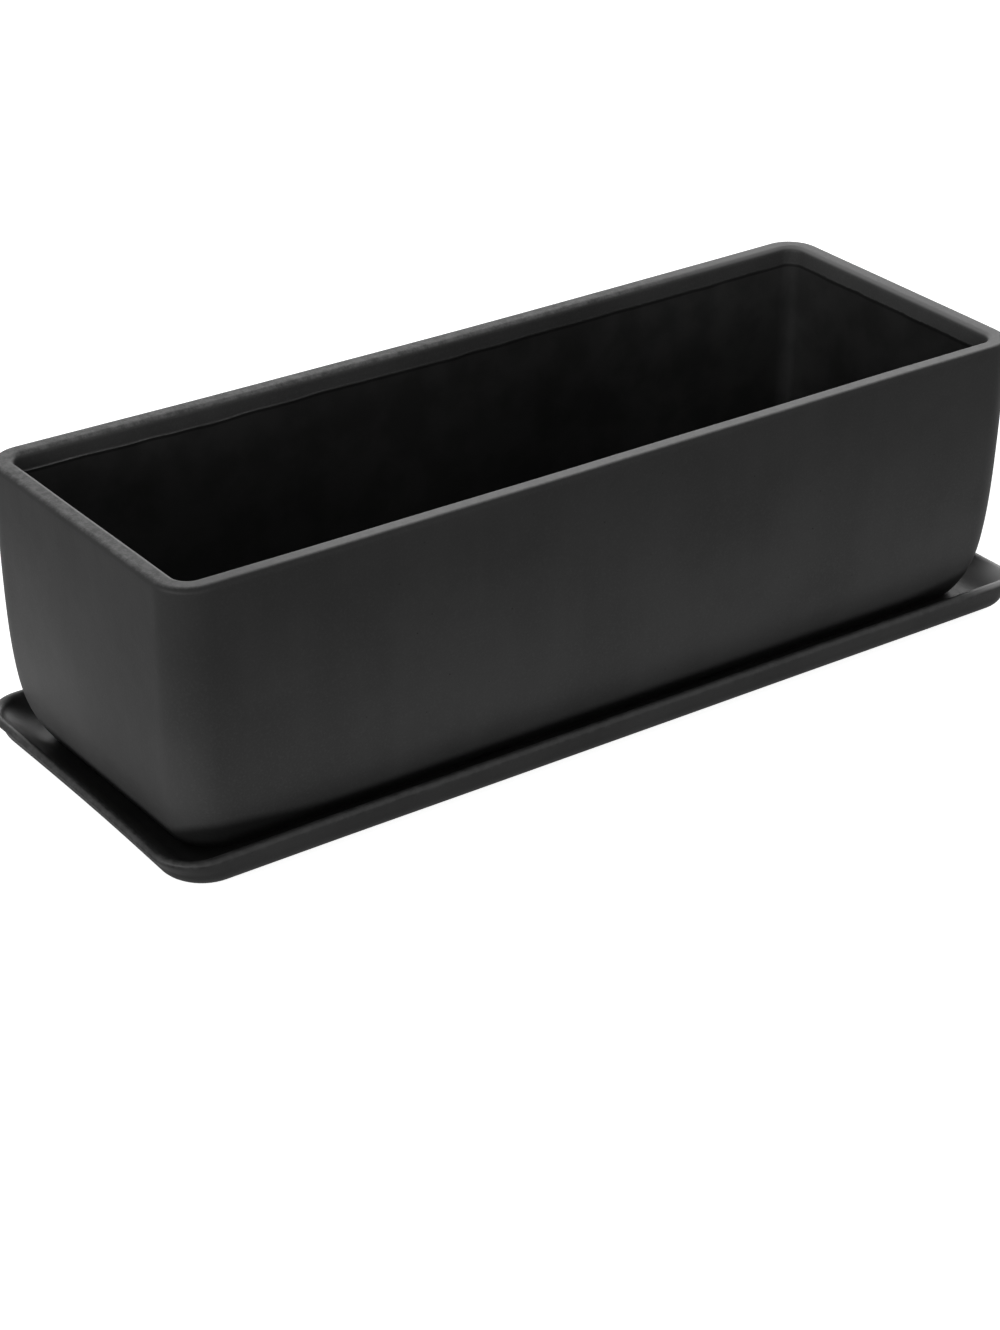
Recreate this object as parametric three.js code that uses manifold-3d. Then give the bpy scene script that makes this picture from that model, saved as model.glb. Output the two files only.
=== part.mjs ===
// A rectangular ceramic planter standing in its drip saucer.
// Millimetres, +Z up. The origin is the middle of the saucer's underside, and +X runs along the trough.

import * as THREE from 'three';
import { mergeVertices } from 'three/addons/utils/BufferGeometryUtils.js';
import Module from 'manifold-3d';

const wasm = await Module();
wasm.setup();

// Pot, outside
const rimLength = 300;
const rimWidth = 108.4;
const potHeight = 88;
const rimCornerRadius = 11;
const footCornerGrowth = 4; // how much rounder the upright corners are at the foot
const footCornerPower = 1.7; // a higher power starts that growth lower down
const wallLean = 0.5; // straight lean of each wall from the rim to the foot
const wallTuck = 5.1; // how far the slow curve toward the foot draws each wall in
const wallTuckPower = 5.8; // a higher power starts that curve lower down
const longWallBow = 1; // how far the long walls draw in at mid-length, at the rim
const footEdgeRound = 4.7; // width of the rounding between the walls and the foot
const footEdgeRise = 18.5; // height of that rounding

// Pot, wall and inside
const wallThickness = 6.3;
const rimOuterRound = 1.8;
const rimInnerRound = 1.8;
const floorThickness = 7;
const floorCove = 10; // fillet between the inside of a wall and the floor
const leastInsideCorner = 4;

// Pot, drainage
const drainDiameter = 12;
const drainCount = 3;
const drainSpacing = 84;
const potFootRing = 8; // width of the ring that the pot stands on
const potFootHollow = 2; // depth of the hollow inside that ring
const weepWidth = 14; // notches that let water out of the hollow
const weepSpacing = 84;

// Saucer
const channelAtEnds = 7.7; // between the pot's end walls, low down, and the saucer's lip
const channelAtSides = 6.5; // the same along the pot's long walls
const saucerHeight = 11.7;
const flareAtEnds = 2.8; // how far the saucer's end walls lean out, from their edge rounding to the lip
const flareAtSides = 0.8; // the same for its long walls
const lipThickness = 3.1;
const saucerFloor = 3.2;
const saucerCove = 9; // width of the curve from the lip's inner face down to the floor
const saucerCornerRadius = 13;
const saucerCornerGrowth = 2.2; // how much rounder the saucer's corners are at its underside
const saucerEdgeRound = 12; // width of the rounding under the saucer's edge
const saucerEdgeRise = 6.2; // height of that rounding
const saucerFootRing = 8;
const saucerFootHollow = 0.8;
const seatGap = 0.3; // between the saucer's floor and the pot's foot

// Facets
const cornerSteps = 6;
const longSideSteps = 6;
const wallSteps = 9;
const flareSteps = 3;
const roundSteps = 4;
const drainSides = 24;

const quarterTurn = Math.PI / 2;
const cutMargin = 1; // how far a cutting body runs past the face that it cuts

// One level of a body, seen from above: a rounded rectangle, anticlockwise, whose long sides
// draw in at mid-length by the bow.
function level({ halfLength, halfWidth, cornerRadius, bow = 0 }, height) {
  const straightX = halfLength - cornerRadius;
  const straightY = halfWidth - cornerRadius;
  const points = [];
  for (let quarter = 0; quarter < 4; quarter += 1) {
    const centreX = quarter === 0 || quarter === 3 ? straightX : -straightX;
    const centreY = quarter < 2 ? straightY : -straightY;
    for (let step = 0; step <= cornerSteps; step += 1) {
      const angle = (quarter + step / cornerSteps) * quarterTurn;
      const x = centreX + cornerRadius * Math.cos(angle);
      const y = centreY + cornerRadius * Math.sin(angle);
      points.push(new THREE.Vector3(x, y, height));
    }
    if (quarter % 2 === 0) {
      const heading = quarter - 1;
      for (let step = 1; step < longSideSteps; step += 1) {
        const share = 2 * step / longSideSteps - 1;
        const x = heading * share * straightX;
        const y = -heading * (halfWidth - bow * (1 - share ** 2));
        points.push(new THREE.Vector3(x, y, height));
      }
    }
  }
  return points;
}

// A closed body through a list of levels, flat across its first and its last level.
function loft(levels) {
  const count = levels[0].length;
  const vertices = levels.flat();
  const faces = [];
  for (let row = 0; row + 1 < levels.length; row += 1) {
    for (let column = 0; column < count; column += 1) {
      const here = row * count + column;
      const beside = row * count + (column + 1) % count;
      faces.push(here, beside, beside + count);
      faces.push(here, beside + count, here + count);
    }
  }
  const lastRow = (levels.length - 1) * count;
  const firstCentre = vertices.push(new THREE.Vector3(0, 0, levels[0][0].z)) - 1;
  const lastCentre = vertices.push(new THREE.Vector3(0, 0, levels.at(-1)[0].z)) - 1;
  for (let column = 0; column < count; column += 1) {
    const next = (column + 1) % count;
    faces.push(firstCentre, next, column);
    faces.push(lastCentre, lastRow + column, lastRow + next);
  }
  const geometry = new THREE.BufferGeometry().setFromPoints(vertices);
  geometry.setIndex(faces);
  return geometry;
}

// A closed geometry as a solid that can be joined and cut.
function solid(geometry) {
  const plain = geometry.clone();
  plain.deleteAttribute('normal');
  plain.deleteAttribute('uv');
  const merged = mergeVertices(plain);
  const vertProperties = new Float32Array(merged.attributes.position.array);
  const triVerts = new Uint32Array(merged.index.array);
  return new wasm.Manifold(new wasm.Mesh({ numProp: 3, vertProperties, triVerts }));
}

// A solid's surface as a mesh of the scene.
function meshOf(body, name, material) {
  const { vertProperties, triVerts } = body.getMesh();
  const geometry = new THREE.BufferGeometry();
  geometry.setAttribute('position', new THREE.BufferAttribute(vertProperties, 3));
  geometry.setIndex(new THREE.BufferAttribute(triVerts, 1));
  geometry.computeVertexNormals();
  const mesh = new THREE.Mesh(geometry, material);
  mesh.name = name;
  return mesh;
}

// How far the pot's outer wall lies inside the rim's outline, at a height above its foot.
function wallInset(height) {
  const depth = 1 - height / potHeight;
  return wallLean * depth + wallTuck * depth ** wallTuckPower;
}

// The outline of the pot at a height, taken in from the outer wall by an amount.
function potLevel(height, takenIn) {
  const depth = 1 - height / potHeight;
  const inset = wallInset(height) + takenIn;
  const outerCorner = rimCornerRadius + footCornerGrowth * depth ** footCornerPower;
  return level({
    halfLength: rimLength / 2 - inset,
    halfWidth: rimWidth / 2 - inset,
    cornerRadius: Math.max(outerCorner - takenIn, leastInsideCorner),
    bow: longWallBow * (1 - depth),
  }, height);
}

// The pot's surface in one run: foot, outer wall, rim, inner wall, cove and floor.
function potBody() {
  const levels = [];
  for (let step = 0; step <= roundSteps; step += 1) {
    const angle = quarterTurn * step / roundSteps;
    levels.push(potLevel(footEdgeRise * (1 - Math.cos(angle)), footEdgeRound * (1 - Math.sin(angle))));
  }
  const shoulder = potHeight - rimOuterRound;
  for (let step = 1; step <= wallSteps; step += 1) {
    const height = THREE.MathUtils.lerp(footEdgeRise, shoulder, step / wallSteps);
    levels.push(potLevel(height, 0));
  }
  for (let step = 1; step <= roundSteps; step += 1) {
    const angle = quarterTurn * step / roundSteps;
    levels.push(potLevel(shoulder + rimOuterRound * Math.sin(angle), rimOuterRound * (1 - Math.cos(angle))));
  }
  const innerShoulder = potHeight - rimInnerRound;
  for (let step = 0; step <= roundSteps; step += 1) {
    const angle = quarterTurn * (1 - step / roundSteps);
    const height = innerShoulder + rimInnerRound * Math.sin(angle);
    levels.push(potLevel(height, wallThickness - rimInnerRound * (1 - Math.cos(angle))));
  }
  const coveTop = floorThickness + floorCove;
  for (let step = 1; step <= wallSteps; step += 1) {
    levels.push(potLevel(THREE.MathUtils.lerp(innerShoulder, coveTop, step / wallSteps), wallThickness));
  }
  for (let step = 1; step <= roundSteps; step += 1) {
    const angle = quarterTurn * step / roundSteps;
    const height = coveTop - floorCove * Math.sin(angle);
    levels.push(potLevel(height, wallThickness + floorCove * (1 - Math.cos(angle))));
  }
  return solid(loft(levels));
}

// The hollow under the pot's floor, inside its foot ring.
function potFootHollowBody() {
  const takenIn = footEdgeRound + potFootRing;
  const outline = {
    halfLength: rimLength / 2 - wallInset(0) - takenIn,
    halfWidth: rimWidth / 2 - wallInset(0) - takenIn,
    cornerRadius: leastInsideCorner,
  };
  return solid(loft([level(outline, -cutMargin), level(outline, potFootHollow)]));
}

// Evenly spaced places along the trough, centred on its middle.
function placesAlong(count, spacing) {
  return Array.from({ length: count }, (_, index) => (index - (count - 1) / 2) * spacing);
}

function drainBody(x) {
  const length = floorThickness + 2 * cutMargin;
  const geometry = new THREE.CylinderGeometry(drainDiameter / 2, drainDiameter / 2, length, drainSides);
  geometry.rotateX(quarterTurn);
  geometry.translate(x, 0, floorThickness / 2);
  return solid(geometry);
}

// A notch across both long sides of the foot ring.
function weepBody(x) {
  const height = potFootHollow + cutMargin;
  const geometry = new THREE.BoxGeometry(weepWidth, rimWidth, height);
  geometry.translate(x, 0, potFootHollow - height / 2);
  return solid(geometry);
}

function pot() {
  let body = potBody().subtract(potFootHollowBody());
  for (const x of placesAlong(drainCount, drainSpacing)) {
    body = body.subtract(drainBody(x));
  }
  for (const x of placesAlong(2, weepSpacing)) {
    body = body.subtract(weepBody(x));
  }
  const glazedBlack = new THREE.MeshStandardMaterial({ color: 0x2c2c2e, roughness: 0.75, metalness: 0 });
  return meshOf(body, 'pot', glazedBlack);
}

// The outline of the saucer's leaning wall at a height, taken in by an amount.
function saucerLevel(height, takenIn) {
  const lipBase = saucerHeight - lipThickness / 2;
  const lean = THREE.MathUtils.clamp((lipBase - height) / (lipBase - saucerEdgeRise), 0, 1);
  const outward = lipThickness - wallInset(0) - takenIn;
  const cornerRadius = saucerCornerRadius + saucerCornerGrowth * (1 - height / saucerHeight);
  return level({
    halfLength: rimLength / 2 + channelAtEnds + outward - flareAtEnds * lean,
    halfWidth: rimWidth / 2 + channelAtSides + outward - flareAtSides * lean,
    cornerRadius: Math.max(cornerRadius - flareAtSides * lean - takenIn, leastInsideCorner),
  }, height);
}

// The saucer's surface in one run: underside, flared wall, rounded lip, curved inner face and floor.
function saucerBody() {
  const lipRound = lipThickness / 2;
  const lipBase = saucerHeight - lipRound;
  const floorTop = saucerFootHollow + saucerFloor;
  const levels = [];
  for (let step = 0; step <= roundSteps; step += 1) {
    const angle = quarterTurn * step / roundSteps;
    const height = saucerEdgeRise * (1 - Math.cos(angle));
    levels.push(saucerLevel(height, saucerEdgeRound * (1 - Math.sin(angle))));
  }
  for (let step = 1; step <= flareSteps; step += 1) {
    const height = THREE.MathUtils.lerp(saucerEdgeRise, lipBase, step / flareSteps);
    levels.push(saucerLevel(height, 0));
  }
  for (let step = 1; step <= 2 * roundSteps; step += 1) {
    const angle = Math.PI * step / (2 * roundSteps);
    levels.push(saucerLevel(lipBase + lipRound * Math.sin(angle), lipRound * (1 - Math.cos(angle))));
  }
  for (let step = 1; step <= 2 * roundSteps; step += 1) {
    const angle = quarterTurn * step / (2 * roundSteps);
    const height = THREE.MathUtils.lerp(lipBase, floorTop, Math.sin(angle));
    levels.push(saucerLevel(height, lipThickness + saucerCove * (1 - Math.cos(angle))));
  }
  return solid(loft(levels));
}

// The hollow under the saucer, inside its foot ring.
function saucerFootHollowBody() {
  const takenIn = saucerEdgeRound + saucerFootRing;
  return solid(loft([saucerLevel(-cutMargin, takenIn), saucerLevel(saucerFootHollow, takenIn)]));
}

function saucer() {
  const body = saucerBody().subtract(saucerFootHollowBody());
  const mattBlack = new THREE.MeshStandardMaterial({ color: 0x2e2e30, roughness: 0.7, metalness: 0 });
  return meshOf(body, 'saucer', mattBlack);
}

const planter = new THREE.Group();
const seatedPot = pot();
seatedPot.position.z = saucerFootHollow + saucerFloor + seatGap;
planter.add(saucer(), seatedPot);

export default planter;
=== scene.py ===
# A rectangular planter of black slip-cast stoneware, standing in its drip saucer.
# Shapes are worked out in millimetres and put into the meshes in metres. +X runs along the
# trough, +Z is up, and the saucer's underside is at zero.

import math

import bpy
import numpy as np
from mathutils import Matrix, Vector


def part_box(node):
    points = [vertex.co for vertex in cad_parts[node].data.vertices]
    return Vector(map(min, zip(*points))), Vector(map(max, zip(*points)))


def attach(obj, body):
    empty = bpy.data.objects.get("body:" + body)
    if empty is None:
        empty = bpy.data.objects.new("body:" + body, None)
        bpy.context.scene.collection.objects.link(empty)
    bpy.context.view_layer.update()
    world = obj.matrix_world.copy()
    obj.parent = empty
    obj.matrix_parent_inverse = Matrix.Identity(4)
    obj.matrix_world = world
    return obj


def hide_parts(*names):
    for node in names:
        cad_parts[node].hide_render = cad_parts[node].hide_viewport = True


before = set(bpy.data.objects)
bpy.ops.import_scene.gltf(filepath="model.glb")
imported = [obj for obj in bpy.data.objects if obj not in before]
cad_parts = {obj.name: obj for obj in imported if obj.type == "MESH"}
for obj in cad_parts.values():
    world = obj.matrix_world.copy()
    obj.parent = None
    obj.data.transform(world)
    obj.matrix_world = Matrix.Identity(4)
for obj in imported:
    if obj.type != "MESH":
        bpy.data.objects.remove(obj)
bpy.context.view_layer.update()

MILLIMETRE = 0.001
QUARTER = math.pi / 2

# Pot, outside. Heights are above its foot.
POT_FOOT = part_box("pot")[0].z / MILLIMETRE
RIM_LENGTH = 300.0
RIM_WIDTH = 108.4
POT_HEIGHT = 88.0
RIM_CORNER_RADIUS = 11.0
FOOT_CORNER_GROWTH = 1.0
FOOT_CORNER_POWER = 1.7
LOWER_LEAN = 0.85  # a further lean that grows towards the foot, as the corners do
FOOT_CORNER_SWEEP = 5.0  # further growth of the left end's outer corners, low down
FOOT_SWEEP_POWER = 14.0
WALL_LEAN = 0.5
WALL_TUCK = 5.1
WALL_TUCK_POWER = 5.8
FRONT_WALL_BOW = 0.5
BACK_WALL_BOW = 1.4
END_WALL_SWELL = 0.4
RIGHT_RIM_SWELL = 0.45
BACK_RIM_SAG = 0.15
FRONT_RIM_SAG = 0.5
FOOT_EDGE_ROUND = 4.7
FOOT_EDGE_RISE = 18.5
CORNER_SOFTNESS = 0.8  # how gradually a corner stops narrowing at its least radius

# Pot, waviness of its surface: how far it strays, and over what length
WALL_WAVE, WALL_WAVE_LENGTH = 0.14, 62
WALL_RIPPLE, WALL_RIPPLE_LENGTH = 0.05, 23
RIM_WAVE, RIM_WAVE_LENGTH = 0.12, 80
GLAZE_LINE_WAVE, GLAZE_LINE_WAVE_LENGTH = 0.35, 70
GLAZE_LINE_RIPPLE, GLAZE_LINE_RIPPLE_LENGTH = 0.4, 9
STEADY_FOOT = 2.5  # height below which the wall isn't wavy
STEADY_FOOT_FADE = 8

# Pot, wall and inside
WALL_THICKNESS = 6.3
RIM_ROUND = 1.8
FLOOR_THICKNESS = 7.0
FLOOR_COVE = 10.0
LEAST_INSIDE_CORNER = 4.0
GLAZE_LINE_DROP = 5.7  # from the rim down to the edge of the liner glaze
GLAZE_THICKNESS = 0.25
GLAZE_EDGE = 0.5  # height over which the liner glaze reaches its thickness
GLAZE_MIDDLE_SHARE = 0.65  # of its full thickness at mid-length
GLAZE_LEFTWARD_SHARE = 0.35  # how much more of it at the left end, and less at the right one
FINE_ROW = 0.3  # spacing of the rows round the glaze line
FINE_ROWS_BELOW_LINE = 2.4
BARE_FOOT_TOP = 1.6  # height below which the foot is bare clay
BARE_FOOT_FADE = 0.8
UNGLAZED = -20.0  # the run below the glaze line that points on the outside have
WELL_GLAZED = 60.0  # the one that points on the floor have
FAR_FROM_RIM = 200.0  # the run from the rim's middle that points on the floor have

# Pot, drainage
DRAIN_RADIUS = 6.0
DRAIN_SPACING = 84.0
DRAIN_TOP_ROUND = 1.4
DRAIN_FOOT_ROUND = 0.5
DRAIN_WALL_ROWS = (4.6, 3.6)  # heights of the rows down a drain's straight wall
FLOOR_ROWS = 10  # rows between a cell's edge and its drain
CELL_LINE_POINTS = 36  # points of a line across the pot between two cells, with its ends
FOOT_RING = 8.0
FOOT_HOLLOW = 2.0
FOOT_RING_ROUND = 0.8
WEEP_WIDTH = 14.0
WEEP_SPACING = 84.0
WEEP_EDGE = 1.6  # width of the softened edge on each side of a notch

# Saucer. Heights are above its underside.
CHANNEL_AT_ENDS = 7.7
CHANNEL_AT_SIDES = 6.5
SAUCER_LEFT_BOW = 0.5
SAUCER_LEFT_REACH = 0.35
SAUCER_LEFT_SKEW = 0.3  # how much more of it at the front corner, and less at the back one
SAUCER_LEFT_FLARE = 0.9  # more lean of the left end wall than of the right one
SAUCER_HEIGHT = 11.7
FLARE_AT_ENDS = 2.8
FLARE_AT_SIDES = 0.8
LIP_THICKNESS = 3.1
SAUCER_FLOOR = 3.2
SAUCER_COVE = 7.5
SAUCER_CORNER_RADIUS = 13.0
SAUCER_RIGHT_CORNER_LESS = 4.5  # how much tighter the corners at the right end are
LEAST_SAUCER_CORNER = 4.0
SAUCER_CORNER_GROWTH = 2.2
SAUCER_EDGE_ROUND = 12.0
SAUCER_EDGE_RISE = 6.2
SAUCER_FOOT_RING = 8.0
SAUCER_FOOT_HOLLOW = 0.8
SAUCER_RING_ROUND = 0.3
LEAN_SOFTNESS = 0.28  # how gradually the saucer's wall starts and stops leaning out
LIP_MARGIN = 0.35  # how far the lip stands beyond the channel's width
SAUCER_CORNER_SOFTNESS = 1.0
SAUCER_WAVE, SAUCER_WAVE_LENGTH = 0.15, 70
LIP_WAVE, LIP_WAVE_LENGTH = 0.12, 75
SAUCER_BARE_TOP = 1.0  # height below which the foot ring is bare clay
CLOSING_ROWS = 14  # rows from an edge to the middle, above and below, with the edge's own
FAR_FROM_LIP = 100  # the run from the lip that points on those rows have

# Columns of the grids
LONG_SIDE_STEPS = 168
SHORT_SIDE_STEPS = 48
CORNER_STEPS = 12


def along_side(steps, crowded=(), width=1.6, gain=5.0):
    """Shares from -1 to 1, even apart from bell-shaped crowds of extra columns round the given shares.

    The shares are the inverse of the running sum of a density of 1 plus the bells, mirrored so
    that both halves hold the same numbers.
    """
    fine = np.linspace(0.0, 1.0, 4001)
    density = np.ones_like(fine)
    for centre in crowded:
        density += gain * np.exp(-((fine - centre) / width) ** 2)
    run = np.concatenate([[0.0], np.cumsum((density[1:] + density[:-1]) / 2)])
    half = np.interp(np.linspace(0.0, run[-1], steps // 2 + 1), run, fine)
    return np.concatenate([-half[:0:-1], half])


def outline_columns():
    """Four values for every column round a rounded rectangle, anticlockwise from +X.

    They are the corner centre that the column hangs on, as shares of the straight half length and
    half width, and the outward direction there.
    """
    straight = RIM_LENGTH / 2 - RIM_CORNER_RADIUS
    notch_edges = [(WEEP_SPACING + side * WEEP_WIDTH) / 2 / straight for side in (-1, 1)]
    long_side = along_side(LONG_SIDE_STEPS, notch_edges, width=WEEP_EDGE / straight)[1:-1]
    short_side = along_side(SHORT_SIDE_STEPS)[1:-1]
    turn = np.linspace(0.0, QUARTER, CORNER_STEPS + 1)
    runs = []
    for quarter, (side_x, side_y) in enumerate(((1, 1), (-1, 1), (-1, -1), (1, -1))):
        angle = turn + quarter * QUARTER
        ones = np.ones_like(angle)
        runs.append(np.stack([side_x * ones, side_y * ones, np.cos(angle), np.sin(angle)]))
        if quarter % 2 == 0:
            ones = np.ones_like(long_side)
            runs.append(np.stack([-side_x * long_side, side_y * ones, 0 * ones, side_y * ones]))
        else:
            ones = np.ones_like(short_side)
            runs.append(np.stack([side_x * ones, -side_y * short_side, side_x * ones, 0 * ones]))
    return np.concatenate(runs, axis=1)


SHARE_X, SHARE_Y, OUT_X, OUT_Y = outline_columns()
BACK = np.clip(OUT_Y, 0, 1)
FRONT = np.clip(-OUT_Y, 0, 1)
MID_LENGTH = 1 - SHARE_X ** 2
COLUMNS = len(SHARE_X)


def smooth_step(values):
    """The values held between 0 and 1, then three times their square less twice their cube."""
    held = np.clip(values, 0.0, 1.0)
    return held * held * (3 - 2 * held)


def at_least(values, least, softness):
    """The values, held above the least one by a curve that has no corner."""
    over = values - least
    return least + (over + np.sqrt(over ** 2 + softness ** 2)) / 2


def arc(steps, first=0):
    """Angles of a quarter turn, leaving out the first few where the run before ends on them."""
    return np.linspace(0.0, QUARTER, steps + 1)[first:]


def unevenness(points, wavelength, seed, waves=7):
    """Slow waviness between -1 and 1.

    It is the mean of sine waves in random fixed directions, all near one wavelength.
    """
    draw = np.random.default_rng(seed)
    heading = draw.normal(size=(waves, 3))
    heading /= np.linalg.norm(heading, axis=1, keepdims=True)
    length = wavelength * draw.uniform(0.7, 1.5, size=(waves, 1))
    phase = draw.uniform(0, 2 * math.pi, size=waves)
    return np.sin(2 * math.pi * points @ (heading / length).T + phase).mean(axis=-1)


def outline(half_length, half_width, corner, bow, height):
    """Rows of points round rounded rectangles, one row per level.

    A point is its column's corner centre plus the corner radius in the outward direction. Long sides
    draw in by the bow at mid-length, and by less with the square of the distance from there.
    """
    x = SHARE_X * (half_length - corner) + OUT_X * corner
    y = SHARE_Y * (half_width - corner) + OUT_Y * corner - OUT_Y * bow * MID_LENGTH
    return np.stack([x, y, np.broadcast_to(height, x.shape)], axis=-1)


def grid_faces(rows, columns, start=0):
    """Faces of a grid whose last column meets its first."""
    row, column = np.meshgrid(np.arange(rows - 1), np.arange(columns), indexing="ij")
    here = start + row * columns + column
    beside = start + row * columns + (column + 1) % columns
    return np.stack([here, beside, beside + columns, here + columns], axis=-1).reshape(-1, 4)


def make_piece(name, grids, body, node, finish):
    """A closed mesh out of grids of points.

    Each grid is (points, {attribute: values}), its columns closed on themselves. Points that
    coincide become one, and a face that this narrows to three corners becomes a triangle.
    """
    points = np.concatenate([grid.reshape(-1, 3) for grid, _ in grids]) + 0.0
    names = list(grids[0][1])
    values = {
        key: np.concatenate([np.broadcast_to(v[key], g.shape[:2]).reshape(-1) for g, v in grids])
        for key in names
    }
    faces, start = [], 0
    for grid, _ in grids:
        faces.append(grid_faces(grid.shape[0], grid.shape[1], start))
        start += grid.shape[0] * grid.shape[1]
    single, first, index = np.unique(points, axis=0, return_index=True, return_inverse=True)
    faces = index.reshape(-1)[np.concatenate(faces)]
    merged = faces == np.roll(faces, -1, axis=1)
    count = merged.sum(axis=1)
    corners = faces[count == 0].tolist()
    for side in range(4):
        kept = [corner for corner in range(4) if corner != side]
        corners += faces[(count == 1) & merged[:, side]][:, kept].tolist()
    mesh = bpy.data.meshes.new(name)
    mesh.from_pydata((single * MILLIMETRE).tolist(), [], corners)
    for key in names:
        layer = mesh.attributes.new(key, "FLOAT", "POINT")
        layer.data.foreach_set("value", values[key][first].astype(np.float32))
    mesh.shade_smooth()
    mesh.validate()
    mesh.update()
    mesh.materials.append(finish)
    piece = bpy.data.objects.new(name, mesh)
    bpy.context.scene.collection.objects.link(piece)
    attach(piece, body)
    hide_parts(node)


def pot_profile():
    """The pot's section in one run of straight lines and quarter ellipses, as (taken in, height) pairs.

    It goes from the hollow under the foot round the foot ring, up the wall, over the rim, down the
    inside and round the cove to the floor.
    """
    ring_inner = FOOT_EDGE_ROUND + FOOT_RING
    shoulder = POT_HEIGHT - RIM_ROUND
    inner_rim = WALL_THICKNESS - RIM_ROUND
    band_foot = POT_HEIGHT - GLAZE_LINE_DROP - FINE_ROWS_BELOW_LINE
    cove_top = FLOOR_THICKNESS + FLOOR_COVE
    a = arc(4)
    runs = [
        (ring_inner + FOOT_RING_ROUND * (1 - np.sin(a)), FOOT_HOLLOW - FOOT_RING_ROUND * (1 - np.cos(a))),
        (ring_inner - FOOT_RING_ROUND * (1 - np.cos(a)), FOOT_RING_ROUND * (1 - np.sin(a))),
    ]
    ring = np.linspace(ring_inner - FOOT_RING_ROUND, FOOT_EDGE_ROUND, 6)[1:-1]
    runs.append((ring, 0 * ring))
    a = arc(14)
    runs.append((FOOT_EDGE_ROUND * (1 - np.sin(a)), FOOT_EDGE_RISE * (1 - np.cos(a))))
    wall = np.linspace(FOOT_EDGE_RISE, shoulder, 36)[1:]
    runs.append((0 * wall, wall))
    a = arc(8, 1)
    runs.append((RIM_ROUND * (1 - np.cos(a)), shoulder + RIM_ROUND * np.sin(a)))
    top = np.linspace(RIM_ROUND, inner_rim, 5)[1:]
    runs.append((top, np.full_like(top, POT_HEIGHT)))
    runs.append((inner_rim + RIM_ROUND * np.sin(a), shoulder + RIM_ROUND * np.cos(a)))
    band = np.arange(shoulder, band_foot, -FINE_ROW)[1:]
    runs.append((np.full_like(band, WALL_THICKNESS), band))
    inner = np.linspace(band[-1], cove_top, 28)[1:]
    runs.append((np.full_like(inner, WALL_THICKNESS), inner))
    a = arc(12, 1)
    runs.append((WALL_THICKNESS + FLOOR_COVE * (1 - np.cos(a)), cove_top - FLOOR_COVE * np.sin(a)))
    return np.concatenate([np.stack(run, axis=1) for run in runs])


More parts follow.
